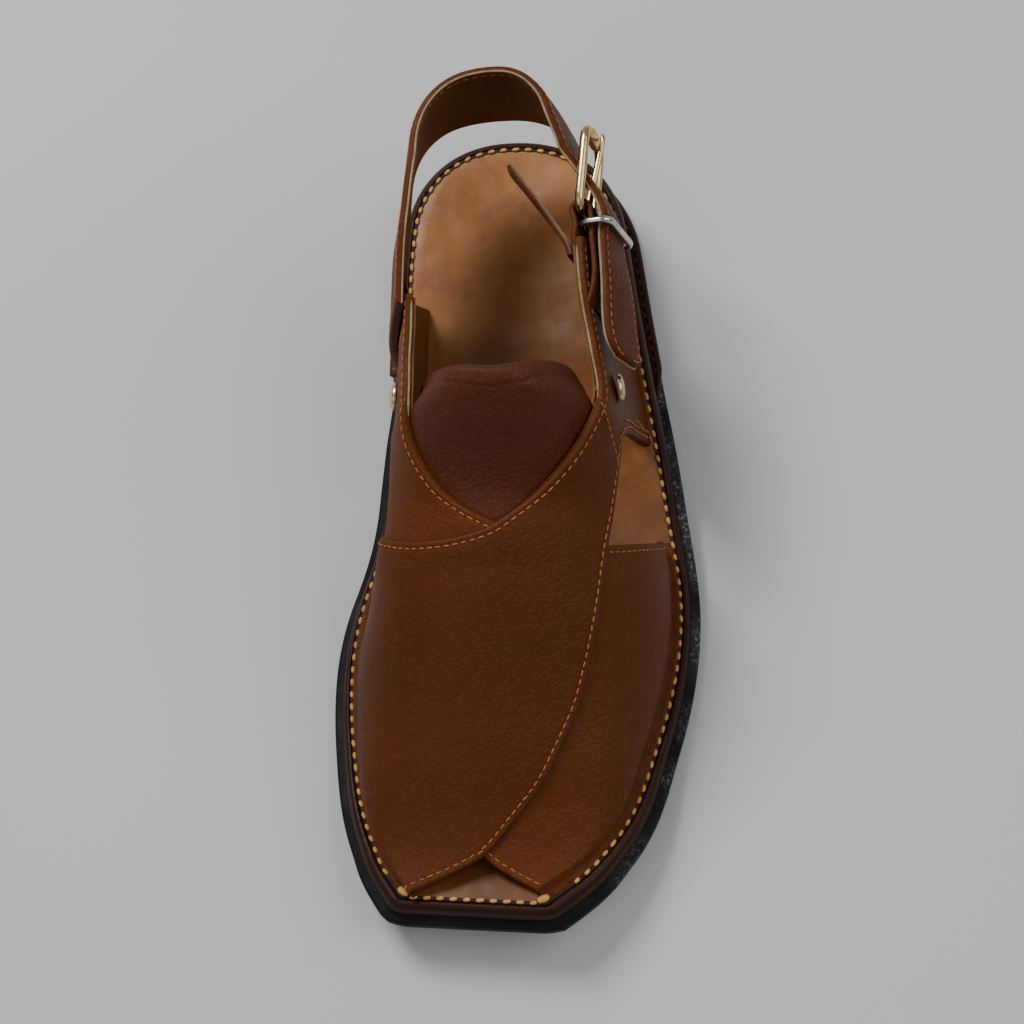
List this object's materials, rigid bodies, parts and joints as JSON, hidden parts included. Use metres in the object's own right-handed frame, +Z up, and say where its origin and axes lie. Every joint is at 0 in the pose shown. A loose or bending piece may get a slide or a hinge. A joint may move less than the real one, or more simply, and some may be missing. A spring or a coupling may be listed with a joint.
{
  "type": "leather chappal sandal",
  "caption": "Left leather chappal with crossed vamp bands, padded tongue, buckled heel strap and layered sole with a low heel.",
  "frame": {"origin": "on the floor, under the centre of the heel seat", "axes": "+Z up, the toe points along -Y and the heel along +Y, the outer side of the left foot is +X"},
  "size_m": [0.1261, 0.2891, 0.1149],
  "materials": {
    "brown leather": "smooth, semi-matt",
    "dark leather": "smooth, semi-matt",
    "tan leather": "smooth, satin",
    "black rubber": "matt",
    "suede": "napped, matt",
    "brass": "polished",
    "steel": "polished"
  },
  "bodies": {
    "root": {"outsole": "black rubber", "midsole": "brown leather", "heel_wedge": "brown leather", "insole": "tan leather", "upper": "brown leather", "tongue": "dark leather", "heel_strap": "brown leather", "buckle_loop": "brown leather", "buckle_frame": "brass", "buckle_prong": "brass", "keeper_ring": "steel", "buckle_guard": "suede", "rivet_medial": "brass", "rivet_lateral": "brass"}
  },
  "joints": []
}
